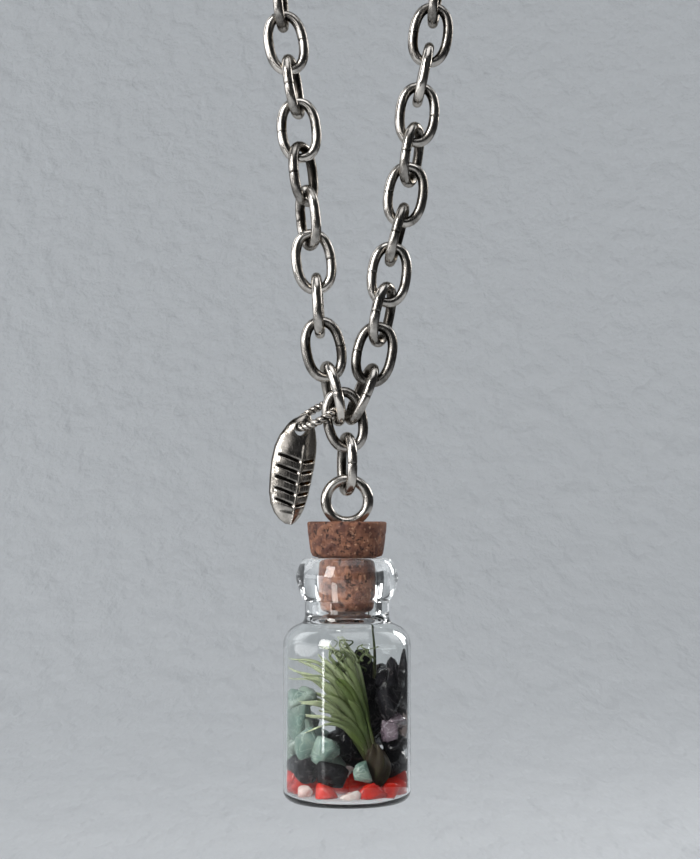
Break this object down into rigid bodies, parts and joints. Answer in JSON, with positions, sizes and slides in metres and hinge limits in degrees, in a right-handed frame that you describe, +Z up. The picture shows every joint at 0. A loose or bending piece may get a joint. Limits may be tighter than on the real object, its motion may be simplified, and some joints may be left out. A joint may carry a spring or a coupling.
{
  "type": "bottle pendant necklace",
  "caption": "Corked glass bottle pendant filled with stone chips and an air plant, on a cable chain with a feather charm.",
  "frame": {"origin": "the inside of the loop's top, under the clasp, where the necklace hangs", "axes": "+Z up along the hanging necklace, +X to the right as it is looked at, +Y away from the viewer"},
  "size_m": [0.0405, 0.011, 0.2454],
  "materials": {
    "silver": "worn antique silver",
    "charm_metal": "darkened antique silver",
    "cork": "reddish brown natural cork with dark pores",
    "glass": "clear",
    "plant": "dried grey-green blades on a brown foot",
    "red_stone": "polished stone",
    "black_stone": "polished stone",
    "green_stone": "polished pale stone",
    "clear_stone": "milky quartz",
    "purple_stone": "translucent stone"
  },
  "bodies": {
    "necklace": {"chain_left": "silver", "chain_right": "silver", "clasp": "silver", "centre_link": "silver", "charm_ring": "charm_metal", "feather_charm": "charm_metal"},
    "drop": {"drop_link": "silver"},
    "pendant": {"screw_eye": "silver", "cork": "cork", "bottle": "glass", "air_plant": "plant", "red_chips": "red_stone", "black_chips": "black_stone", "green_chips": "green_stone", "clear_chips": "clear_stone", "purple_chip": "purple_stone"}
  },
  "joints": [
    {"name": "front-back swing", "type": "hinge", "parent": "necklace", "child": "drop", "pos_m": [-0.00189, 0, -0.21137], "axis": [1, 0, 0], "range_deg": [-80, 80]},
    {"name": "side swing", "type": "hinge", "parent": "drop", "child": "pendant", "pos_m": [-0.00189, 0, -0.21511], "axis": [0, 1, 0], "range_deg": [-40, 12]}
  ]
}
